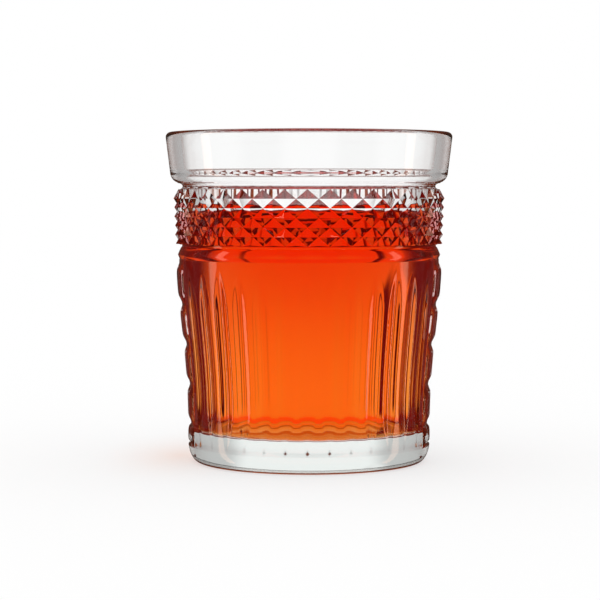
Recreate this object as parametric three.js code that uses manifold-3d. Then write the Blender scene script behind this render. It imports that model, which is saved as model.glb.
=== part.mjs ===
import * as THREE from "three";
import { mergeVertices } from "three/addons/utils/BufferGeometryUtils.js";
import Module from "manifold-3d";

const wasm = await Module();
wasm.setup();

// A pressed rocks glass and the drink in it. Millimetres, +Z up.
// The origin is the middle of the resting ring, on the table. The mould's two seams lie at +X and -X.

// Whole glass
const glassHeight = 100;
const rimRadius = 43.5;
const lipRound = 1.5; // both edges of the drinking rim

// Plain band below the rim
const bandHeight = 15.4; // from the lip down to the neck
const bandTaper = 1.3;
const bandFootRound = 3.3;

// Neck that sets the band off
const neckHeight = 1.85;
const neckDepth = 3.8;
const neckEdge = 0.15; // ledge that the topmost diamonds leave above their valleys

// Ring of four-faced diamonds
const diamondCount = 38;
const diamondRows = 3; // whole rows, with a staggered row between each two
const diamondHeight = 5.5;
const diamondDepth = 1.6;
const diamondInset = 0.9; // points of the top row, behind the foot of the plain band
const diamondTaper = 0.7; // how much less the points of the bottom row stand out

// Groove and sloping shoulder below the diamonds
const grooveHeight = 0.8;
const grooveDepth = 1.8;
const shoulderInset = 0.2;
const shoulderHeight = 2.4;
const shoulderEdge = 0.5; // how far the shoulder's upper edge stands behind the body
const shoulderDrop = 1.4; // from that edge down to the body's full width

// Fluted body, which flares from the foot to the shoulder
const bodyTaper = 3.5;
const footHeight = 8; // upright stretch above the table
const flarePower = 1.3;

// Heel and resting ring
const heelHeight = 6.5;
const heelWidth = 3.3;
const restWidth = 3.4;
const recessDepth = 0.8;
const recessRound = 2.4;

// Bore
const rimWall = 4.5;
const ledgeDrop = 10.2; // from the lip down to the hollow ledge inside
const ledgeHeight = 3.6;
const ledgeRound = 5;
const ledgeWall = 5.5; // from the rim's radius to the bore's, where the ledge begins
const footWall = 4; // at the top of the bore's corner
const floorThickness = 9.4;
const boreCorner = 2.6;

// Flutes
const fluteDivisions = 36;
const fluteWidth = 5;
const fluteRound = 6.5; // radius of the hollow across the flute
const fluteFoot = 5.2;
const fluteTipDrop = 2.4; // point of the flute, below the shoulder
const fluteTipLength = 13;
const fluteFootLength = 14;
const panelDivisions = 5; // divisions that each bead panel takes in place of flutes

// Bead panels over the two seams
const beadColumns = 3;
const beadColumnDegrees = 14.5;
const beadHeight = 12.15;
const beadFoot = 11.5; // lowest level groove
const beadGrooves = 4; // level grooves on each panel
const beadGrooveWidth = 5;
const beadGrooveRound = 3.7;
const beadPanelTipLength = 3; // run-out at the ends of the level grooves

// Drink
const drinkLevel = 77.2;
const drinkGap = 0.3;

// Fineness of the model
const turnSteps = 60;
const roundSteps = 3; // in a quarter turn of a small round
const flareSteps = 6;
const heelSteps = 4;
const neckSteps = 4;
const cutSides = 4;
const weldShare = 1e-6; // of the glass's height: corners closer than this are one corner
const cutSpread = 0.98; // radians to each side of the deepest line that a cut's round reaches

const bandFootRadius = rimRadius - bandTaper;
const neckRadius = bandFootRadius - neckDepth;
const neckTop = glassHeight - bandHeight;
const diamondTop = neckTop - neckHeight;
const diamondFoot = diamondTop - diamondRows * diamondHeight;
const diamondTopRadius = bandFootRadius - diamondInset;
const diamondFootRadius = diamondTopRadius - diamondTaper;
const shoulderTop = diamondFoot - grooveHeight;
const shoulderRadius = diamondFootRadius - shoulderInset;
const grooveRadius = shoulderRadius - grooveDepth;
const shoulderRim = shoulderTop - shoulderHeight;
const shoulderFoot = shoulderRim - shoulderDrop;
const footRadius = shoulderRadius - bodyTaper;
const restRadius = footRadius - heelWidth;
const boreRimRadius = rimRadius - rimWall;
const ledgeRadius = rimRadius - ledgeWall;
const ledgeTop = glassHeight - ledgeDrop;
const ledgeAngle = Math.asin(Math.min(ledgeHeight / ledgeRound, 1));
const ledgeFootRadius = ledgeRadius - ledgeRound * (1 - Math.cos(ledgeAngle));
const boreFootRadius = footRadius - footWall;
const boreFoot = floorThickness + boreCorner;
const division = (2 * Math.PI) / fluteDivisions;
const beadColumnAngle = THREE.MathUtils.degToRad(beadColumnDegrees);
const quarterTurn = Math.PI / 2;

// Outer radius of the body at a height, before it is cut.
function bodyRadius(height) {
  const share = THREE.MathUtils.clamp((height - footHeight) / (shoulderFoot - footHeight), 0, 1);
  return footRadius + bodyTaper * THREE.MathUtils.smoothstep(share ** flarePower, 0, 1);
}

// Radius of the diamonds' points at a height.
function diamondRadius(height) {
  const share = (diamondTop - height) / (diamondTop - diamondFoot);
  return diamondTopRadius - diamondTaper * share;
}

// Points of a round in a profile, from one angle to another, both ends included.
function roundPoints(centreRadius, centreHeight, radius, from, to) {
  const points = [];
  for (let i = 0; i <= roundSteps; i += 1) {
    const angle = from + ((to - from) * i) / roundSteps;
    points.push(
      new THREE.Vector2(
        centreRadius + radius * Math.cos(angle),
        centreHeight + radius * Math.sin(angle),
      ),
    );
  }
  return points;
}

// The bore from the rim to the centre of its floor. A gap above zero gives what stands inside it.
function borePoints(gap) {
  return [
    new THREE.Vector2(boreRimRadius - gap, glassHeight - lipRound),
    ...roundPoints(ledgeRadius - ledgeRound - gap, ledgeTop, ledgeRound, 0, -ledgeAngle),
    ...roundPoints(boreFootRadius - boreCorner, boreFoot, boreCorner - gap, 0, -quarterTurn),
    new THREE.Vector2(0, floorThickness + gap),
  ];
}

// A closed three.js geometry as a solid that can be joined and cut.
function solidOf(geometry) {
  const bare = geometry.clone();
  bare.deleteAttribute("normal");
  bare.deleteAttribute("uv");
  const merged = mergeVertices(bare, glassHeight * weldShare);
  const corners = merged.index.array;
  const kept = [];
  for (let i = 0; i < corners.length; i += 3) {
    const [a, b, c] = corners.slice(i, i + 3);
    if (a !== b && b !== c && c !== a) kept.push(a, b, c);
  }
  return new wasm.Manifold(
    new wasm.Mesh({
      numProp: 3,
      vertProperties: merged.attributes.position.array,
      triVerts: new Uint32Array(kept),
    }),
  );
}

function geometryOf(solid) {
  const mesh = solid.getMesh();
  const geometry = new THREE.BufferGeometry();
  geometry.setAttribute("position", new THREE.BufferAttribute(mesh.vertProperties, 3));
  geometry.setIndex(new THREE.BufferAttribute(mesh.triVerts, 1));
  const flat = geometry.toNonIndexed();
  flat.computeVertexNormals();
  return flat;
}

// A profile turned about the upright axis.
function turned(points, steps) {
  const geometry = new THREE.LatheGeometry(points, steps);
  geometry.rotateX(Math.PI / 2);
  return geometry;
}

// A skin over rings with as many points each. Closed rings in a row are capped at both ends.
function lofted(rings) {
  const count = rings[0].length;
  const positions = rings.flat().flatMap((point) => point.toArray());
  const indices = [];
  for (let r = 0; r < rings.length - 1; r += 1) {
    for (let i = 0; i < count; i += 1) {
      const a = r * count + i;
      const b = r * count + ((i + 1) % count);
      indices.push(a, b + count, b, a, a + count, b + count);
    }
  }
  const last = (rings.length - 1) * count;
  for (let i = 1; i < count - 1; i += 1) {
    indices.push(0, i, i + 1);
    indices.push(last, last + i + 1, last + i);
  }
  const geometry = new THREE.BufferGeometry();
  geometry.setAttribute("position", new THREE.Float32BufferAttribute(positions, 3));
  geometry.setIndex(indices);
  return geometry;
}

// The outside of the glass up to the lip, from the middle of the underside.
function outerPoints() {
  const heel = [];
  for (let i = 0; i <= heelSteps; i += 1) {
    const angle = (quarterTurn * i) / heelSteps;
    heel.push(
      new THREE.Vector2(
        restRadius + heelWidth * Math.sin(angle),
        heelHeight * (1 - Math.cos(angle)),
      ),
    );
  }
  const flare = [];
  for (let i = 0; i <= flareSteps; i += 1) {
    const height = footHeight + ((shoulderFoot - footHeight) * i) / flareSteps;
    flare.push(new THREE.Vector2(bodyRadius(height), height));
  }
  const valleyRadius = diamondTopRadius - diamondDepth - neckEdge;
  const neck = [];
  for (let i = 0; i < neckSteps; i += 1) {
    const angle = (Math.PI * i) / neckSteps;
    const side = angle < quarterTurn ? valleyRadius : bandFootRadius - bandFootRound;
    neck.push(
      new THREE.Vector2(
        side - (side - neckRadius) * Math.sin(angle),
        diamondTop + (neckHeight * (1 - Math.cos(angle))) / 2,
      ),
    );
  }
  const recessRadius = restRadius - restWidth;
  return [
    new THREE.Vector2(0, recessDepth),
    new THREE.Vector2(recessRadius - recessRound, recessDepth),
    new THREE.Vector2(recessRadius, 0),
    ...heel,
    ...flare,
    new THREE.Vector2(shoulderRadius - shoulderEdge, shoulderRim),
    new THREE.Vector2(grooveRadius, shoulderTop),
    new THREE.Vector2(grooveRadius, diamondFoot),
    ...neck,
    ...roundPoints(
      bandFootRadius - bandFootRound,
      neckTop + bandFootRound,
      bandFootRound,
      -quarterTurn,
      0,
    ),
    ...roundPoints(rimRadius - lipRound, glassHeight - lipRound, lipRound, 0, quarterTurn),
    ...roundPoints(
      boreRimRadius + lipRound,
      glassHeight - lipRound,
      lipRound,
      quarterTurn,
      (5 * quarterTurn) / 3,
    ),
  ];
}

// The ring of diamonds: every other point of each level stands out, and the edges run along the valleys.
function diamondRing() {
  const columns = 2 * diamondCount;
  const levels = 2 * diamondRows;
  const innerRadius = (ledgeFootRadius + neckRadius) / 2;
  const positions = [];
  const addPoint = (column, radius, height) => {
    const angle = (Math.PI * column) / diamondCount - Math.PI / 2;
    positions.push(radius * Math.cos(angle), radius * Math.sin(angle), height);
  };
  for (let level = 0; level <= levels; level += 1) {
    const height = diamondTop - (level * diamondHeight) / 2;
    for (let column = 0; column < columns; column += 1) {
      const standsOut = level > 0 && (column + level) % 2 === 1;
      addPoint(column, diamondRadius(height) - (standsOut ? 0 : diamondDepth), height);
    }
  }
  for (let column = 0; column < columns; column += 1) addPoint(column, innerRadius, diamondFoot);
  for (let column = 0; column < columns; column += 1) addPoint(column, innerRadius, diamondTop);
  const rings = levels + 3;
  const indices = [];
  for (let ring = 0; ring < rings; ring += 1) {
    for (let column = 0; column < columns; column += 1) {
      const next = (column + 1) % columns;
      const a = ring * columns + column;
      const b = ring * columns + next;
      const c = ((ring + 1) % rings) * columns + next;
      const d = ((ring + 1) % rings) * columns + column;
      if ((column + ring) % 2 === 0) indices.push(a, d, c, a, c, b);
      else indices.push(a, d, b, b, d, c);
    }
  }
  const geometry = new THREE.BufferGeometry();
  geometry.setAttribute("position", new THREE.Float32BufferAttribute(positions, 3));
  geometry.setIndex(indices);
  return geometry;
}

// One section of a cutter: a round that faces the glass, closed by its chord, in a frame of
// outward and sideways directions. The half width is where the round meets the glass.
function cutSection(surface, outward, sideways, round, halfWidth) {
  const reach = Math.sqrt(Math.max(round * round - halfWidth * halfWidth, 0));
  const centre = surface.clone().addScaledVector(outward, reach);
  const points = [];
  for (let i = 0; i <= cutSides; i += 1) {
    const angle = cutSpread * ((2 * i) / cutSides - 1);
    points.push(
      centre
        .clone()
        .addScaledVector(outward, -round * Math.cos(angle))
        .addScaledVector(sideways, round * Math.sin(angle)),
    );
  }
  return points;
}

// How wide an upright cut is at a height, as a share of its full width: pointed at both ends.
function pointedShare(height, foot, tip) {
  const fromTip = Math.min((tip - height) / fluteTipLength, 1);
  const fromFoot = Math.min((height - foot) / fluteFootLength, 1);
  const share = Math.min(fromTip, fromFoot);
  return share > 0 ? Math.sin((share * Math.PI) / 2) : 0;
}

// An upright cut that follows the body's flare, at an angle from +X.
function uprightCut(angle, width, round) {
  const outward = new THREE.Vector3(Math.cos(angle), Math.sin(angle), 0);
  const sideways = new THREE.Vector3(-Math.sin(angle), Math.cos(angle), 0);
  const tip = shoulderFoot - fluteTipDrop;
  const stations = [
    fluteFoot,
    fluteFoot + fluteFootLength / 2,
    fluteFoot + fluteFootLength,
    (fluteFoot + fluteFootLength + tip - fluteTipLength) / 2,
    tip - fluteTipLength,
    tip - fluteTipLength / 2,
    tip,
  ];
  return lofted(
    stations.map((height) => {
      const surface = outward.clone().multiplyScalar(bodyRadius(height));
      surface.z = height;
      const halfWidth = (width / 2) * pointedShare(height, fluteFoot, tip);
      return cutSection(surface, outward, sideways, round, halfWidth);
    }),
  );
}

// A level cut round one bead panel, fading at both ends.
function levelCut(middle, height) {
  const halfAngle = (beadColumns * beadColumnAngle) / 2;
  const fade = beadPanelTipLength / bodyRadius(height);
  const steps = 8;
  const rings = [];
  for (let i = 0; i <= steps; i += 1) {
    const offset = halfAngle - (2 * halfAngle * i) / steps;
    const angle = middle + offset;
    const outward = new THREE.Vector3(Math.cos(angle), Math.sin(angle), 0);
    const surface = outward.clone().multiplyScalar(bodyRadius(height));
    surface.z = height;
    const share = Math.min((halfAngle - Math.abs(offset)) / fade, 1);
    const halfWidth = (beadGrooveWidth / 2) * Math.sin((share * Math.PI) / 2);
    const upward = new THREE.Vector3(0, 0, 1);
    rings.push(cutSection(surface, outward, upward, beadGrooveRound, halfWidth));
  }
  return lofted(rings);
}

// All the cuts in the body: flutes, and the grooves that part the beads.
function bodyCuts() {
  const cuts = [];
  const quarter = fluteDivisions / 4;
  const panelHalf = (panelDivisions - 1) / 2;
  for (let i = 0; i < fluteDivisions; i += 1) {
    const fromSeam = Math.abs((i % (2 * quarter)) - quarter);
    const atSide = quarter - fromSeam <= panelHalf;
    if (!atSide) cuts.push(uprightCut(i * division, fluteWidth, fluteRound));
  }
  for (const middle of [0, Math.PI]) {
    for (let i = 0; i <= beadColumns; i += 1) {
      const angle = middle + beadColumnAngle * (i - beadColumns / 2);
      cuts.push(uprightCut(angle, beadGrooveWidth, beadGrooveRound));
    }
    for (let i = 0; i < beadGrooves; i += 1) {
      cuts.push(levelCut(middle, beadFoot + i * beadHeight));
    }
  }
  return cuts;
}

// The glass, pressed in one piece.
function tumbler() {
  let solid = solidOf(turned([...outerPoints(), ...borePoints(0)], turnSteps));
  solid = solid.add(solidOf(diamondRing()));
  for (const cut of bodyCuts()) solid = solid.subtract(solidOf(cut));
  return new THREE.Mesh(
    geometryOf(solid),
    new THREE.MeshStandardMaterial({
      name: "soda-lime glass",
      color: 0xe9f1ee,
      roughness: 0.04,
      metalness: 0,
      transparent: true,
      opacity: 0.45,
    }),
  );
}

// The drink, which fills the bore up to its level.
function drink() {
  const bore = borePoints(drinkGap);
  const below = bore.filter((point) => point.y < drinkLevel);
  const above = bore[bore.length - below.length - 1];
  const share = (drinkLevel - below[0].y) / (above.y - below[0].y);
  const edge = below[0].clone().lerp(above, share);
  return new THREE.Mesh(
    turned([...below.reverse(), edge, new THREE.Vector2(0, drinkLevel)], turnSteps),
    new THREE.MeshStandardMaterial({
      name: "orange drink",
      color: 0xff5a0a,
      roughness: 0.03,
      metalness: 0,
    }),
  );
}

const rocksGlass = new THREE.Group();
const pieces = { tumbler: tumbler(), drink: drink() };
for (const [name, mesh] of Object.entries(pieces)) {
  mesh.name = name;
  rocksGlass.add(mesh);
}

export default rocksGlass;
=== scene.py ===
import math

import bmesh
import bpy
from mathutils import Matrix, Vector


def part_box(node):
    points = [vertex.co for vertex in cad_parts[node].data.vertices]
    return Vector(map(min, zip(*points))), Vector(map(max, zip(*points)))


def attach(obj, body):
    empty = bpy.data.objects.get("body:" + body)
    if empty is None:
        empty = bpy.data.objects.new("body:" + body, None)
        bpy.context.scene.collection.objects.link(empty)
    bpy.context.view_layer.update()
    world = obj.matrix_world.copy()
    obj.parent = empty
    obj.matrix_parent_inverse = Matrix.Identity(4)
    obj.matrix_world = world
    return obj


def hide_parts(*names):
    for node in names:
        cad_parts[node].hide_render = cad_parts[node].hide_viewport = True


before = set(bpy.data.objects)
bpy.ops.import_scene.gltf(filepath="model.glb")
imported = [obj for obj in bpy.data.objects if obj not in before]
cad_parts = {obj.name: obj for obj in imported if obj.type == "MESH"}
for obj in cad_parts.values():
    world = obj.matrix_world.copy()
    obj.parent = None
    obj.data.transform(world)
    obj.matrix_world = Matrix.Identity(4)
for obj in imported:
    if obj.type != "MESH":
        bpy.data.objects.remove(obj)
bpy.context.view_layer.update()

mm = 0.001
quarter = math.pi / 2  # a quarter turn
mergeDistance = 1e-7
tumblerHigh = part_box("tumbler")[1]
glassHeight = tumblerHigh.z
rimRadius = tumblerHigh.x
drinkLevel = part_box("drink")[1].z


# Colours are written as sRGB hex values and turned to linear here.
def linearColour(hexValue):
    channels = []
    for start in (0, 2, 4):
        value = int(hexValue[start:start + 2], 16) / 255
        channels.append(value / 12.92 if value <= 0.04045 else ((value + 0.055) / 1.055) ** 2.4)
    return (*channels, 1.0)


# Adds one node, sets its properties, and gives its inputs values or other nodes' outputs.
def addNode(tree, kind, settings=None, inputs=None):
    node = tree.nodes.new(kind)
    for name, value in (settings or {}).items():
        setattr(node, name, value)
    for name, value in (inputs or {}).items():
        if isinstance(value, bpy.types.NodeSocket):
            tree.links.new(value, node.inputs[name])
        else:
            node.inputs[name].default_value = value
    return node


def newMaterial(name):
    material = bpy.data.materials.new(name)
    material.use_nodes = True
    material.node_tree.nodes.clear()
    return material, material.node_tree


# Camera at the photograph's viewing angle.
cameraSettings = {
    "distance": 0.625,  # metres from the glass's axis
    "height": 0.0825,
    "turn": 0.9,  # degrees round the glass, towards +X
    "pitch": 3.07,  # degrees downwards
    "aside": 0.00274,  # metres the camera stands left of the axis, which puts the glass right of centre
    "lens": 123,
    "sensor": 36,
    "near": 0.01,
    "far": 50,
}


def makeCamera(settings):
    turn = math.radians(settings["turn"])
    back = Vector((math.sin(turn), -math.cos(turn), 0))
    right = Vector((math.cos(turn), math.sin(turn), 0))
    data = bpy.data.cameras.new("photo_camera")
    data.lens = settings["lens"]
    data.sensor_width = settings["sensor"]
    data.clip_start = settings["near"]
    data.clip_end = settings["far"]
    camera = bpy.data.objects.new("photo_camera", data)
    camera.location = back * settings["distance"] - right * settings["aside"]
    camera.location.z = settings["height"]
    camera.rotation_euler = (quarter - math.radians(settings["pitch"]), 0, turn)
    bpy.context.collection.objects.link(camera)
    bpy.context.scene.camera = camera


makeCamera(cameraSettings)
print("camera made")


# The glass, from the rim to the underside and then the bore. Lengths are written in millimetres.
form = {
    "lipRound": 1.5 * mm,
    "bandHeight": 15.4 * mm, "bandTaper": 1.3 * mm, "bandSteps": 4,
    "bandFootRound": 3.3 * mm, "bandFootShare": 0.8,  # share of the round that the neck leaves
    "neckHeight": 1.85 * mm, "neckDepth": 3.8 * mm, "neckEdge": 0.15 * mm,
    "neckSteps": 8, "neckTopShare": 0.7,  # share of the round at which the neck meets the band
    "diamondCount": 38, "diamondRows": 3, "diamondHeight": 5.5 * mm, "diamondDepth": 1.6 * mm,
    "diamondInset": 0.9 * mm, "diamondTaper": 0.7 * mm,
    "grooveHeight": 0.8 * mm, "grooveDepth": 1.8 * mm,
    "grooveOffsets": ((0.55, -0.7), (0.28, -0.25), (0.06, -0.05), (0, 0.1)),  # outwards and upwards
    "shoulderInset": 0.2 * mm, "shoulderHeight": 2.4 * mm, "shoulderEdge": 0.5 * mm, "shoulderDrop": 1.4 * mm,
    "shoulderRimOffsets": ((0, -0.1), (-0.35, 0.8)),
    "shoulderFootOffsets": ((-0.02, 0), (-0.12, 0.1)),
    "bodyTaper": 3.5 * mm, "footHeight": 8 * mm, "flarePower": 1.3,
    "levelStart": 0.2 * mm, "levelStep": 1 * mm, "levelEnd": 0.4 * mm,  # of the body's rings of points
    "heelHeight": 6.5 * mm, "heelWidth": 3.3 * mm, "heelSteps": 14,
    "restWidth": 3.4 * mm,
    "recessDepth": 0.8 * mm, "recessRound": 2.4 * mm, "recessRoundShares": ((1, 1), (0.4, 0.6), (0, 0)),
    "rimWall": 4.5 * mm,
    "ledgeDrop": 10.2 * mm, "ledgeHeight": 3.6 * mm, "ledgeRound": 5 * mm, "ledgeWall": 5.5 * mm,
    "ledgeEdge": 0.15 * mm, "ledgeEdgeShares": ((0.4, 0.3), (0.05, -0.4)),
    "footWall": 4 * mm, "boreSteps": 12, "boreCorner": 2.6 * mm, "floorThickness": 9.4 * mm,
    "floorRingShares": (0.66, 0.33),
    "fluteDivisions": 36, "fluteWidth": 5 * mm, "fluteRound": 6.5 * mm, "fluteSoftness": 1.6,
    "fluteFoot": 5.2 * mm, "fluteFootLength": 14 * mm, "fluteFootEdge": 0.05 * mm,
    "fluteTipDrop": 2.4 * mm, "fluteTipLength": 13 * mm, "fluteTipPower": 0.6,
    "panelDivisions": 5,  # flutes that a bead panel takes the place of
    "beadColumns": 3, "beadRows": 4, "beadPitch": 14.5,  # degrees
    "beadHeight": 12.15 * mm, "beadFoot": 11.5 * mm, "beadTopDrop": 0.8 * mm, "beadTopReach": 1 * mm,
    "beadDepth": 0.9 * mm, "beadSoftness": 0.45, "beadPower": 2.6,
    "patternSteps": 684, "plainSteps": 228, "roundSteps": 7, "sharpAngle": 32,
    "joinReach": 0.01 * mm,  # how far from its level an open edge may lie to be joined there
}

bandFootRadius = rimRadius - form["bandTaper"]
neckRadius = bandFootRadius - form["neckDepth"]
neckTop = glassHeight - form["bandHeight"]
diamondTop = neckTop - form["neckHeight"]
diamondFoot = diamondTop - form["diamondRows"] * form["diamondHeight"]
diamondTopRadius = bandFootRadius - form["diamondInset"]
diamondFootRadius = diamondTopRadius - form["diamondTaper"]
shoulderTop = diamondFoot - form["grooveHeight"]
shoulderRadius = diamondFootRadius - form["shoulderInset"]
grooveRadius = shoulderRadius - form["grooveDepth"]
shoulderRim = shoulderTop - form["shoulderHeight"]
shoulderFoot = shoulderRim - form["shoulderDrop"]
footRadius = shoulderRadius - form["bodyTaper"]
restRadius = footRadius - form["heelWidth"]
recessRadius = restRadius - form["restWidth"]
boreRimRadius = rimRadius - form["rimWall"]
boreFootRadius = footRadius - form["footWall"]
boreFoot = form["floorThickness"] + form["boreCorner"]
ledgeTopRadius = rimRadius - form["ledgeWall"]
ledgeTop = glassHeight - form["ledgeDrop"]
ledgeFoot = ledgeTop - form["ledgeHeight"]
ledgeAngle = math.asin(form["ledgeHeight"] / form["ledgeRound"])
ledgeFootRadius = ledgeTopRadius - form["ledgeRound"] * (1 - math.cos(ledgeAngle))
beadTop = shoulderFoot - form["beadTopDrop"]


def between(start, end, share):
    return start + (end - start) * share


def smoothStep(value):
    value = min(max(value, 0), 1)
    return value * value * (3 - 2 * value)


# Outer radius of the fluted body at a height, before the flutes.
def bodyRadius(height):
    share = (height - form["footHeight"]) / (shoulderFoot - form["footHeight"])
    return footRadius + form["bodyTaper"] * smoothStep(max(share, 0) ** form["flarePower"])


# Radius of the heel, which draws in below the body.
def heelRadius(height):
    share = max(1 - height / form["heelHeight"], 0)
    return restRadius + form["heelWidth"] * math.sqrt(1 - share * share)


# Points of a round in a profile: (radius, height) pairs, both ends included.
def roundPoints(centreRadius, centreHeight, radius, start, end, steps):
    points = []
    for i in range(steps + 1):
        angle = between(start, end, i / steps)
        points.append((centreRadius + radius * math.cos(angle), centreHeight + radius * math.sin(angle)))
    return points


# Points near a corner of a profile, at distances outwards and upwards from it.
def cornerPoints(radius, height, scale, offsets):
    return [(radius + out * scale, height + up * scale) for out, up in offsets]


# The bore from the rim to the centre of its floor; a gap above zero gives what stands inside it.
def borePoints(gap, steps):
    points = []
    wallTop = glassHeight - form["lipRound"]
    for i in range(steps // 2):
        share = i * 2 / steps
        points.append((between(boreRimRadius, ledgeTopRadius, share), between(wallTop, ledgeTop, share)))
    points += roundPoints(
        ledgeTopRadius - form["ledgeRound"], ledgeTop, form["ledgeRound"], 0, -ledgeAngle, steps)[:-1]
    points += cornerPoints(ledgeFootRadius, ledgeFoot, form["ledgeEdge"], form["ledgeEdgeShares"])
    wallTop = ledgeFoot - form["ledgeEdge"]
    for i in range(1, steps):
        share = i / steps
        points.append((between(ledgeFootRadius, boreFootRadius, share), between(wallTop, boreFoot, share)))
    points = [(radius - gap, height) for radius, height in points]
    cornerFoot = boreFootRadius - form["boreCorner"]
    points += roundPoints(cornerFoot, boreFoot, form["boreCorner"] - gap, 0, -quarter, steps)
    for share in (*form["floorRingShares"], 0):
        points.append((cornerFoot * share, form["floorThickness"] + gap))
    return points


# Turns a profile about the upright axis into a skin.
def spinProfile(bm, points, steps):
    verts = [bm.verts.new((radius, 0, height)) for radius, height in points]
    edges = [bm.edges.new(pair) for pair in zip(verts, verts[1:])]
    bmesh.ops.spin(
        bm, geom=verts + edges, cent=(0, 0, 0), axis=(0, 0, 1), angle=2 * math.pi, steps=steps,
        use_merge=True)
    bmesh.ops.remove_doubles(bm, verts=bm.verts[:], dist=mergeDistance)


def angleOf(point):
    return math.atan2(point.y, point.x)


# Moves a point straight towards the axis.
def pullIn(vert, depth):
    vert.co.xy *= 1 - depth / vert.co.xy.length


# Adds one skin to another and frees it.
def joinInto(bm, skin):
    mesh = bpy.data.meshes.new("skin")
    skin.to_mesh(mesh)
    skin.free()
    bm.from_mesh(mesh)
    bpy.data.meshes.remove(mesh)


# How wide a flute is at a height, as a share of its full width: pointed at the top, tapered at the foot.
def fluteShare(height):
    tip = shoulderFoot - form["fluteTipDrop"]
    tipShare = min(max((tip - height) / form["fluteTipLength"], 0), 1)
    footShare = min(max((height - form["fluteFoot"]) / form["fluteFootLength"], 0), 1)
    return min(math.sin(tipShare * quarter) ** form["fluteTipPower"], math.sin(footShare * quarter))


# Depth of the flutes at a point of the body. The bead panels over the two seams have none.
def fluteDepth(angle, height):
    division = 2 * math.pi / form["fluteDivisions"]
    index = round(angle / division)
    halfTurn = form["fluteDivisions"] // 2
    fromSeam = abs((index + halfTurn // 2) % halfTurn - halfTurn // 2)
    aside = (angle - index * division) * bodyRadius(height)
    half = form["fluteWidth"] / 2 * fluteShare(height)
    if fromSeam <= (form["panelDivisions"] - 1) / 2 or abs(aside) >= half:
        return 0
    deepest = form["fluteRound"] - math.sqrt(form["fluteRound"] ** 2 - half ** 2)
    return deepest * (1 - (aside / half) ** 2) ** form["fluteSoftness"]


# Foot and top of the bead at a height: a short one lowest, whole ones above, and a longer one uppermost.
def beadEnds(height):
    row = int((height - form["beadFoot"]) // form["beadHeight"])
    if row < 0:
        return form["fluteFoot"], form["beadFoot"]
    uppermost = form["beadRows"] - 1
    foot = form["beadFoot"] + min(row, uppermost) * form["beadHeight"]
    return foot, beadTop if row >= uppermost else foot + form["beadHeight"]


# Depth of the grooves round the beads.
def beadDepth(angle, height):
    fromSeam = (angle + quarter) % math.pi - quarter
    across = fromSeam / math.radians(form["beadPitch"]) + form["beadColumns"] / 2
    if not 0 <= across <= form["beadColumns"] or height > beadTop + form["beadTopReach"]:
        return 0
    column = min(int(across), form["beadColumns"] - 1)
    foot, top = beadEnds(height)
    sideways = abs(across - column - 0.5) * 2
    upwards = abs((height - foot) / (top - foot) - 0.5) * 2
    power = form["beadPower"]
    edge = (sideways ** power + upwards ** power) ** (1 / power)
    return form["beadDepth"] * smoothStep((edge - 1) / form["beadSoftness"] + 1)


def bodyLevels():
    levels = [form["fluteFoot"] + form["levelStart"]]
    while levels[-1] < shoulderFoot - form["levelEnd"]:
        levels.append(levels[-1] + form["levelStep"])
    return levels


# Half profile from the middle of the underside to the groove below the diamonds.
def lowerPoints():
    recess = [(recessRadius - form["recessRound"] * inwards, form["recessDepth"] * up)
              for inwards, up in form["recessRoundShares"]]
    heelTop = form["fluteFoot"] - form["fluteFootEdge"]
    heel = []
    for i in range(form["heelSteps"] + 1):
        angle = quarter * i / form["heelSteps"]
        height = form["heelHeight"] * (1 - math.cos(angle))
        if height < heelTop - form["fluteFootEdge"]:
            heel.append((restRadius + form["heelWidth"] * math.sin(angle), height))
    return [
        (0, form["recessDepth"]),
        (recessRadius / 2, form["recessDepth"]),
        *recess,
        *heel,
        (heelRadius(heelTop), heelTop),
        *[(bodyRadius(height) + heelRadius(height) - footRadius, height) for height in bodyLevels()],
        *cornerPoints(shoulderRadius, shoulderFoot, mm, form["shoulderFootOffsets"]),
        *cornerPoints(shoulderRadius - form["shoulderEdge"], shoulderRim, mm, form["shoulderRimOffsets"]),
        *cornerPoints(grooveRadius, shoulderTop, mm, form["grooveOffsets"]),
        (grooveRadius, diamondFoot),
    ]


# Half profile from the top of the diamonds over the rim and down the bore.
def upperPoints():
    neckFoot = diamondTopRadius - form["diamondDepth"] - form["neckEdge"]
    neckHead = bandFootRadius - form["bandFootRound"] * form["neckTopShare"]
    neck = []
    for i in range(form["neckSteps"] + 1):
        angle = 2 * quarter * i / form["neckSteps"]
        side = neckFoot if i < form["neckSteps"] / 2 else neckHead
        height = (diamondTop + neckTop) / 2 - (neckTop - diamondTop) / 2 * math.cos(angle)
        neck.append((between(side, neckRadius, math.sin(angle)), height))
    bandFoot = neckTop + form["bandFootRound"]
    wallTop = glassHeight - form["lipRound"]
    band = []
    for i in range(1, form["bandSteps"]):
        share = i / form["bandSteps"]
        band.append((between(bandFootRadius, rimRadius, share), between(bandFoot, wallTop, share)))
    steps = form["roundSteps"]
    return [
        *neck,
        *roundPoints(bandFootRadius - form["bandFootRound"], bandFoot, form["bandFootRound"],
                     -quarter * form["bandFootShare"], 0, steps),
        *band,
        *roundPoints(rimRadius - form["lipRound"], wallTop, form["lipRound"], 0, quarter, steps),
        *roundPoints(boreRimRadius + form["lipRound"], wallTop, form["lipRound"],
                     quarter, 2 * quarter, steps)[:-1],
        *borePoints(0, form["boreSteps"]),
    ]


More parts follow.
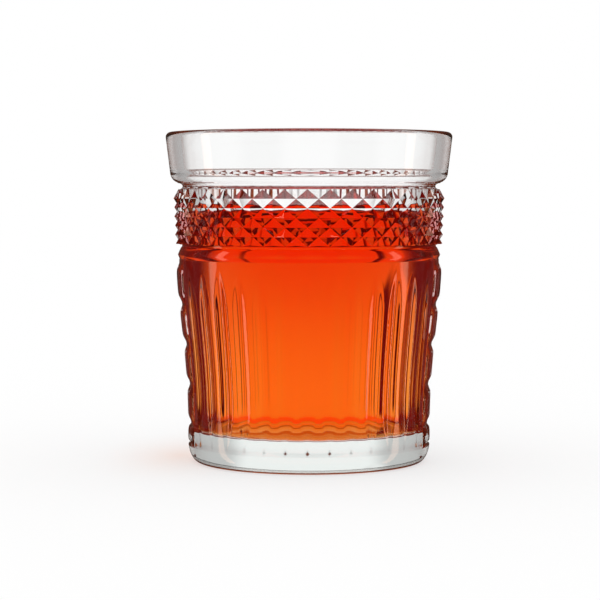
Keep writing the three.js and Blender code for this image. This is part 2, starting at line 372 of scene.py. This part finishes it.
# The ring of diamonds: flat facets between the valleys, whose edges run along them.
def addDiamonds(bm):
    levels = 2 * form["diamondRows"]
    columns = 2 * form["diamondCount"]
    levelHeight = form["diamondHeight"] / 2
    profile = []
    for level in reversed(range(levels + 1)):
        radius = between(diamondTopRadius, diamondFootRadius, level / levels)
        profile.append((radius, diamondTop - level * levelHeight))
    ring = bmesh.new()
    spinProfile(ring, profile, columns)
    valleys = []
    for vert in ring.verts:
        column = round((angleOf(vert.co) + quarter) / (2 * math.pi) * columns)
        level = round((diamondTop - vert.co.z) / levelHeight)
        inValley = (column + level) % 2 == 0
        if inValley or level == 0:
            pullIn(vert, form["diamondDepth"])
        if inValley:
            valleys.append(vert)
    bmesh.ops.connect_verts(ring, verts=valleys)
    for face in ring.faces:
        face.smooth = False
    joinInto(bm, ring)


# The open edges at a height, which the ledges above and below the diamonds join.
def openEdgesAt(bm, height):
    found = []
    for edge in bm.edges:
        middle = (edge.verts[0].co + edge.verts[1].co) / 2
        if edge.is_boundary and abs(middle.z - height) < form["joinReach"]:
            found.append(edge)
    return found


# Turns a closed skin into a piece with its faces outwards.
def newPiece(name, bm, sharpAngle):
    bmesh.ops.recalc_face_normals(bm, faces=bm.faces[:])
    data = bpy.data.meshes.new(name)
    bm.to_mesh(data)
    bm.free()
    data.set_sharp_from_angle(angle=math.radians(sharpAngle))
    piece = bpy.data.objects.new(name, data)
    bpy.context.collection.objects.link(piece)
    return piece


def makeTumbler():
    bm = bmesh.new()
    spinProfile(bm, lowerPoints(), form["patternSteps"])
    for vert in bm.verts:
        if form["fluteFoot"] <= vert.co.z <= shoulderTop:
            angle = angleOf(vert.co)
            pullIn(vert, fluteDepth(angle, vert.co.z) + beadDepth(angle, vert.co.z))
    upper = bmesh.new()
    spinProfile(upper, upperPoints(), form["plainSteps"])
    joinInto(bm, upper)
    for face in bm.faces:
        face.smooth = True
    addDiamonds(bm)
    for height in (diamondFoot, diamondTop):
        bmesh.ops.bridge_loops(bm, edges=openEdgesAt(bm, height))
    bmesh.ops.remove_doubles(bm, verts=bm.verts[:], dist=mergeDistance)
    return newPiece("glass_tumbler", bm, form["sharpAngle"])


# The drink laps a little way into the glass, so that light passes from one to the other as it should.
drinkSettings = {
    "overlap": 0.03 * mm,
    "meniscusHeight": 0.4 * mm, "meniscusWidth": 1.2 * mm, "meniscusFade": 4,
    "wallSteps": 24, "meniscusSteps": 12, "steps": 228, "sharpAngle": 50,
}


def makeDrink(settings):
    rise = settings["meniscusHeight"]
    bore = borePoints(-settings["overlap"], settings["wallSteps"])
    wet = [point for point in bore if point[1] < drinkLevel + rise]
    above = bore[len(bore) - len(wet) - 1]
    edgeShare = (drinkLevel + rise - wet[0][1]) / (above[1] - wet[0][1])
    edgeRadius = between(wet[0][0], above[0], edgeShare)
    surface = []
    for i in range(settings["meniscusSteps"] + 1):
        along = i / settings["meniscusSteps"]
        height = drinkLevel + rise * math.exp(-settings["meniscusFade"] * along) * (1 - along)
        surface.append((edgeRadius - settings["meniscusWidth"] * along, height))
    bm = bmesh.new()
    middle = [(edgeRadius / 2, drinkLevel), (0, drinkLevel)]
    spinProfile(bm, [*reversed(wet), *surface, *middle], settings["steps"])
    for face in bm.faces:
        face.smooth = True
    return newPiece("orange_drink", bm, settings["sharpAngle"])


# Fire-polished soda-lime glass. It is clear, with slight ripples from the mould and a faint green-grey cast
# where it is thick. Where the drink wets the bore, hardly any light is mirrored straight back.
glassSettings = {
    "ior": 1.5,
    "cast": "edf4f1",
    "castDensity": 13,  # per metre
    "rippleSize": 6 * mm,  # from ripple to ripple
    "rippleDepth": 0.01 * mm,
    "rippleStrength": 0.15,
    "wetMirror": 0.05,
    "wetReach": 1 * mm,  # how far outside the bore's own line a point still counts as the bore
}


def makeGlass(settings):
    material, tree = newMaterial("pressed soda-lime glass")
    place = addNode(tree, "ShaderNodeTexCoord").outputs["Object"]
    ripple = addNode(tree, "ShaderNodeTexNoise", inputs={
        "Vector": place, "Scale": 1 / settings["rippleSize"], "Detail": 1.0})
    bump = addNode(tree, "ShaderNodeBump", inputs={
        "Height": ripple.outputs["Fac"], "Strength": settings["rippleStrength"],
        "Distance": settings["rippleDepth"]})
    height = addNode(tree, "ShaderNodeSeparateXYZ", inputs={"Vector": place}).outputs["Z"]
    level = addNode(tree, "ShaderNodeVectorMath", {"operation": "MULTIPLY"}, {0: place, 1: (1, 1, 0)})
    radius = addNode(tree, "ShaderNodeVectorMath", {"operation": "LENGTH"}, {0: level.outputs["Vector"]})
    boreLine = addNode(tree, "ShaderNodeMapRange", inputs={
        "Value": height, "From Min": boreFoot, "From Max": ledgeFoot,
        "To Min": boreFootRadius + settings["wetReach"], "To Max": ledgeFootRadius + settings["wetReach"]})
    inBore = addNode(tree, "ShaderNodeMath", {"operation": "LESS_THAN"}, {
        0: radius.outputs["Value"], 1: boreLine.outputs["Result"]})
    wetFoot = form["floorThickness"] / 2  # anywhere below the bore's floor will do
    besideDrink = addNode(tree, "ShaderNodeMath", {"operation": "COMPARE"}, {
        0: height, 1: (drinkLevel + wetFoot) / 2, 2: (drinkLevel - wetFoot) / 2})
    wet = addNode(tree, "ShaderNodeMath", {"operation": "MULTIPLY"}, {
        0: inBore.outputs["Value"], 1: besideDrink.outputs["Value"]})
    mirror = addNode(tree, "ShaderNodeMix", {"data_type": "RGBA"}, {
        "Factor": wet.outputs["Value"], "A": (1, 1, 1, 1), "B": (*[settings["wetMirror"]] * 3, 1)})
    surface = addNode(tree, "ShaderNodeBsdfPrincipled", inputs={
        "Base Color": (1, 1, 1, 1), "Roughness": 0.0, "IOR": settings["ior"], "Transmission Weight": 1.0,
        "Normal": bump.outputs["Normal"], "Specular Tint": mirror.outputs["Result"]})
    inside = addNode(tree, "ShaderNodeVolumeAbsorption", inputs={
        "Color": linearColour(settings["cast"]), "Density": settings["castDensity"]})
    addNode(tree, "ShaderNodeOutputMaterial", inputs={
        "Surface": surface.outputs["BSDF"], "Volume": inside.outputs["Volume"]})
    return material


# A clear orange drink. It filters light to orange across the glass, and to deep red over long paths and near
# the top, with soft swirls between. Its own surface mirrors nothing.
orangeSettings = {
    "ior": 1.35,
    "filter": "ffd66c",
    "filterDensity": 95,  # per metre
    "lowTint": "ffffff", "highTint": "ec8686",
    "tintFrom": 20 * mm, "tintTo": 76 * mm,  # heights above the table
    "swirlSize": 18 * mm, "swirlHeight": 6 * mm,
}


def makeOrange(settings):
    material, tree = newMaterial("clear orange drink")
    place = addNode(tree, "ShaderNodeTexCoord").outputs["Object"]
    height = addNode(tree, "ShaderNodeSeparateXYZ", inputs={"Vector": place}).outputs["Z"]
    noise = addNode(tree, "ShaderNodeTexNoise", inputs={
        "Vector": place, "Scale": 1 / settings["swirlSize"], "Detail": 1.0})
    swirl = addNode(tree, "ShaderNodeMapRange", inputs={
        "Value": noise.outputs["Fac"],
        "To Min": -settings["swirlHeight"] / 2, "To Max": settings["swirlHeight"] / 2})
    level = addNode(tree, "ShaderNodeMath", {"operation": "ADD"}, {0: height, 1: swirl.outputs["Result"]})
    high = addNode(tree, "ShaderNodeMapRange", {"interpolation_type": "SMOOTHSTEP"}, {
        "Value": level.outputs["Value"], "From Min": settings["tintFrom"], "From Max": settings["tintTo"]})
    tint = addNode(tree, "ShaderNodeMix", {"data_type": "RGBA"}, {
        "Factor": high.outputs["Result"],
        "A": linearColour(settings["lowTint"]), "B": linearColour(settings["highTint"])})
    surface = addNode(tree, "ShaderNodeBsdfPrincipled", inputs={
        "Base Color": tint.outputs["Result"], "Roughness": 0.0, "IOR": settings["ior"],
        "Transmission Weight": 1.0, "Specular Tint": (0, 0, 0, 1)})
    inside = addNode(tree, "ShaderNodeVolumeAbsorption", inputs={
        "Color": linearColour(settings["filter"]), "Density": settings["filterDensity"]})
    addNode(tree, "ShaderNodeOutputMaterial", inputs={
        "Surface": surface.outputs["BSDF"], "Volume": inside.outputs["Volume"]})
    return material


tumbler = makeTumbler()
tumbler.data.materials.append(makeGlass(glassSettings))
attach(tumbler, "root")
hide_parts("tumbler")
print("tumbler made")

drink = makeDrink(drinkSettings)
drink.data.materials.append(makeOrange(orangeSettings))
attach(drink, "root")
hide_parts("drink")
print("drink made")


# Rays that the glass bent or mirrored, which show the room instead of the floor.
def addBent(tree, path):
    return addNode(tree, "ShaderNodeMath", {"operation": "MAXIMUM"}, {
        0: path.outputs["Is Glossy Ray"], 1: path.outputs["Is Transmission Ray"]}).outputs["Value"]


# Matt white card. It glows a little, so that it blends into the backdrop, and keeps the glass's shadow.
# Beside the glass it has a painted warm pool of light, which stands in for light that falls through the
# drink.
floorSettings = {
    "width": 12,  # metres
    "drop": 0.05 * mm,
    "glow": 0.6,
    # the painted pool of warm light beside the glass: its colour, place and size
    "paintedPoolColour": "ffe6da",
    "paintedPoolPlace": (-40 * mm, 10 * mm, 0),
    "paintedPoolSize": (30 * mm, 70 * mm, 1),
}


def makeFloor(settings):
    bm = bmesh.new()
    bmesh.ops.create_grid(bm, x_segments=1, y_segments=1, size=settings["width"] / 2)
    data = bpy.data.meshes.new("floor")
    bm.to_mesh(data)
    bm.free()
    floor = bpy.data.objects.new("floor", data)
    floor.location.z = -settings["drop"]
    bpy.context.collection.objects.link(floor)
    material, tree = newMaterial("matt white card")
    path = addNode(tree, "ShaderNodeLightPath")
    place = addNode(tree, "ShaderNodeTexCoord").outputs["Object"]
    # painted pool of warm light beside the glass, fading out from its middle, carried by the floor's glow
    paintedPoolMapping = addNode(tree, "ShaderNodeMapping", {"vector_type": "TEXTURE"}, {
        "Vector": place, "Location": settings["paintedPoolPlace"], "Scale": settings["paintedPoolSize"]})
    paintedPoolFade = addNode(tree, "ShaderNodeTexGradient", {"gradient_type": "QUADRATIC_SPHERE"}, {
        "Vector": paintedPoolMapping.outputs["Vector"]})
    paintedPoolTint = addNode(tree, "ShaderNodeMix", {"data_type": "RGBA"}, {
        "Factor": paintedPoolFade.outputs["Fac"], "A": (1, 1, 1, 1), "B": linearColour(settings["paintedPoolColour"])})
    strength = addNode(tree, "ShaderNodeMath", {"operation": "MULTIPLY"}, {
        0: path.outputs["Is Camera Ray"], 1: settings["glow"]})
    light = addNode(tree, "ShaderNodeEmission", inputs={
        "Color": paintedPoolTint.outputs["Result"], "Strength": strength.outputs["Value"]})
    white = 1 - settings["glow"]
    card = addNode(tree, "ShaderNodeBsdfDiffuse", inputs={"Color": (white, white, white, 1)})
    seen = addNode(tree, "ShaderNodeAddShader", inputs={
        0: light.outputs["Emission"], 1: card.outputs["BSDF"]})
    clear = addNode(tree, "ShaderNodeBsdfTransparent")
    mix = addNode(tree, "ShaderNodeMixShader", inputs={
        0: addBent(tree, path), 1: seen.outputs["Shader"], 2: clear.outputs["BSDF"]})
    addNode(tree, "ShaderNodeOutputMaterial", inputs={"Surface": mix.outputs["Shader"]})
    floor.data.materials.append(material)


makeFloor(floorSettings)
print("floor made")


# A plain white room for all that the glass doesn't bend. Through the glass the room has lit walls with dark
# gaps between them, as in a bright-field photograph. Through the drink it shows painted light: warm below
# the horizon, standing in for the table lit through the drink, and painted dark red shade far below it,
# standing in for the table close to the glass, in its shadow. Angles are in degrees.
studioSettings = {
    "light": 1.0,
    "backdrop": 1.04,  # the lit walls, seen through the glass
    "panels": 4, "gapWidth": 40, "gapSoft": 6,
    "gapShade": 0.38,  # how much of its light clear glass loses in a gap
    "gapColour": "700c12",  # a gap, seen through the drink
    "clearPasses": 4.5,  # light that went through more surfaces than this went through the drink
    # painted light through the drink: warm below the horizon, then painted dark red shade far below it
    "paintedTableLightColour": "ffb088", "warmFrom": -8, "warmFull": -12, "warmTo": -24, "warmEnd": -34,
    "paintedTableShadeColour": "7a0e08", "steepFrom": -33, "steepTo": -42,
    "mirrored": 0.85,  # painted shade: the share of the light kept at each mirroring inside the glass
    "paintedMirroredTone": "b4532a", "mirroredOften": 1.5,  # painted warm tone of light mirrored inside the glass more often than this
    "outside": 0.08,  # painted dark reflection: the dark room that the outside of the glass mirrors
    "paintedHighlightColour": "ffcbae", "paintedHighlightLevel": 2.8,  # painted highlights: the two strip lights in that room, which light nothing
    "stripWidth": 12, "stripReach": 36.87,  # how far they reach up and down from the horizon
    "bounces": 32, "mirrorBounces": 16,
}


def sineOf(degrees):
    return math.sin(math.radians(degrees))


# 1 in the gaps between the lit walls and 0 elsewhere.
def addGaps(tree, settings, azimuth):
    halfPitch = math.radians(180 / settings["panels"])
    fromWall = addNode(tree, "ShaderNodeMath", {"operation": "PINGPONG"}, {0: azimuth, 1: halfPitch})
    edge = halfPitch - math.radians(settings["gapWidth"]) / 2
    soft = math.radians(settings["gapSoft"])
    gaps = addNode(tree, "ShaderNodeMapRange", {"interpolation_type": "SMOOTHSTEP"}, {
        "Value": fromWall.outputs["Value"], "From Min": edge - soft, "From Max": edge + soft})
    return gaps.outputs["Result"]


# What the outside of the glass mirrors: painted highlights of two upright strip lights, left and right,
# in a painted dark room.
def addPaintedHighlights(tree, settings, azimuth, up):
    fromBack = addNode(tree, "ShaderNodeMath", {"operation": "ABSOLUTE"}, {0: azimuth})
    aside = addNode(tree, "ShaderNodeMath", {"operation": "SUBTRACT"}, {
        0: fromBack.outputs["Value"], 1: quarter})
    fromStrip = addNode(tree, "ShaderNodeMath", {"operation": "ABSOLUTE"}, {0: aside.outputs["Value"]})
    edge = math.radians(settings["stripWidth"]) / 2
    narrow = addNode(tree, "ShaderNodeMapRange", {"interpolation_type": "SMOOTHSTEP"}, {
        "Value": fromStrip.outputs["Value"], "From Min": edge, "From Max": edge / 2})
    low = addNode(tree, "ShaderNodeMath", {"operation": "COMPARE"}, {
        0: up, 1: 0.0, 2: sineOf(settings["stripReach"])})
    paintedHighlight = addNode(tree, "ShaderNodeMath", {"operation": "MULTIPLY"}, {
        0: narrow.outputs["Result"], 1: low.outputs["Value"]})
    # painted highlight of the strips on the painted dark reflection
    return addNode(tree, "ShaderNodeMath", {"operation": "MULTIPLY_ADD"}, {
        0: paintedHighlight.outputs["Value"], 1: settings["paintedHighlightLevel"], 2: settings["outside"]}).outputs["Value"]


# How bright the lit walls and gaps look through the glass, with painted shade for each mirroring inside it.
def addWalls(tree, settings, path, gaps, throughDrink):
    clear = addNode(tree, "ShaderNodeMath", {"operation": "SUBTRACT"}, {0: 1.0, 1: throughDrink})
    clearGaps = addNode(tree, "ShaderNodeMath", {"operation": "MULTIPLY"}, {
        0: gaps, 1: clear.outputs["Value"]})
    shade = settings["gapShade"] * settings["backdrop"]
    walls = addNode(tree, "ShaderNodeMath", {"operation": "MULTIPLY_ADD"}, {
        0: clearGaps.outputs["Value"], 1: -shade, 2: settings["backdrop"]})
    # painted shade, deeper for each mirroring inside the glass
    left = addNode(tree, "ShaderNodeMath", {"operation": "POWER"}, {
        0: settings["mirrored"], 1: path.outputs["Glossy Depth"]})
    return addNode(tree, "ShaderNodeMath", {"operation": "MULTIPLY"}, {
        0: walls.outputs["Value"], 1: left.outputs["Value"]}).outputs["Value"]


def makeStudio(settings):
    world = bpy.data.worlds.new("studio")
    world.use_nodes = True
    tree = world.node_tree
    tree.nodes.clear()
    path = addNode(tree, "ShaderNodeLightPath")
    passes = path.outputs["Transmission Depth"]
    direction = addNode(tree, "ShaderNodeTexCoord").outputs["Generated"]
    parts = addNode(tree, "ShaderNodeSeparateXYZ", inputs={"Vector": direction})
    up = parts.outputs["Z"]
    azimuth = addNode(tree, "ShaderNodeMath", {"operation": "ARCTAN2"}, {
        0: parts.outputs["X"], 1: parts.outputs["Y"]}).outputs["Value"]
    gaps = addGaps(tree, settings, azimuth)
    bent = addBent(tree, path)
    throughDrink = addNode(tree, "ShaderNodeMath", {"operation": "GREATER_THAN"}, {
        0: passes, 1: settings["clearPasses"]}).outputs["Value"]
    bentByDrink = addNode(tree, "ShaderNodeMath", {"operation": "MULTIPLY"}, {
        0: throughDrink, 1: bent}).outputs["Value"]
    entered = addNode(tree, "ShaderNodeMath", {"operation": "MINIMUM"}, {0: passes, 1: 1.0}).outputs["Value"]
    room = addNode(tree, "ShaderNodeMix", {"data_type": "FLOAT"}, {
        "Factor": entered, "A": addPaintedHighlights(tree, settings, azimuth, up),
        "B": addWalls(tree, settings, path, gaps, throughDrink)})
    strength = addNode(tree, "ShaderNodeMix", {"data_type": "FLOAT"}, {
        "Factor": bent, "A": settings["light"], "B": room.outputs["Result"]})
    # masks of the painted warm light and the painted dark red shade below the horizon
    ramps = []
    for start, end in (("warmFrom", "warmFull"), ("warmEnd", "warmTo"), ("steepFrom", "steepTo")):
        ramp = addNode(tree, "ShaderNodeMapRange", {"interpolation_type": "SMOOTHSTEP"}, {
            "Value": up, "From Min": sineOf(settings[start]), "From Max": sineOf(settings[end])})
        ramps.append(ramp.outputs["Result"])
    belowHorizon, aboveTable, paintedTableShade = ramps
    paintedTableLight = addNode(tree, "ShaderNodeMath", {"operation": "MULTIPLY"}, {0: belowHorizon, 1: aboveTable})
    paintedToneShare = addNode(tree, "ShaderNodeMath", {"operation": "GREATER_THAN"}, {
        0: path.outputs["Glossy Depth"], 1: settings["mirroredOften"]})
    outer = addNode(tree, "ShaderNodeMath", {"operation": "SUBTRACT"}, {0: 1.0, 1: entered})
    tints = [
        # painted warm light below the horizon, seen through the drink
        ("paintedTableLightColour", paintedTableLight.outputs["Value"], bentByDrink),
        ("gapColour", gaps, bentByDrink),
        # painted warm tone of light mirrored inside the glass more than once
        ("paintedMirroredTone", paintedToneShare.outputs["Value"], bent),
        # painted dark red shade far below the horizon, seen through the drink
        ("paintedTableShadeColour", paintedTableShade, bentByDrink),
        # painted highlights of the strip lights, on the outside of the glass
        ("paintedHighlightColour", outer.outputs["Value"], bent),
    ]
    colour = (1, 1, 1, 1)
    for name, share, rays in tints:
        factor = addNode(tree, "ShaderNodeMath", {"operation": "MULTIPLY"}, {0: share, 1: rays})
        tinted = addNode(tree, "ShaderNodeMix", {"data_type": "RGBA"}, {
            "Factor": factor.outputs["Value"], "A": colour, "B": linearColour(settings[name])})
        colour = tinted.outputs["Result"]
    background = addNode(tree, "ShaderNodeBackground", inputs={
        "Color": colour, "Strength": strength.outputs["Result"]})
    addNode(tree, "ShaderNodeOutputWorld", inputs={"Surface": background.outputs["Background"]})
    scene = bpy.context.scene
    scene.world = world
    scene.view_settings.view_transform = "Standard"
    scene.cycles.max_bounces = settings["bounces"]
    scene.cycles.transmission_bounces = settings["bounces"]
    scene.cycles.glossy_bounces = settings["mirrorBounces"]


makeStudio(studioSettings)
print("studio made")
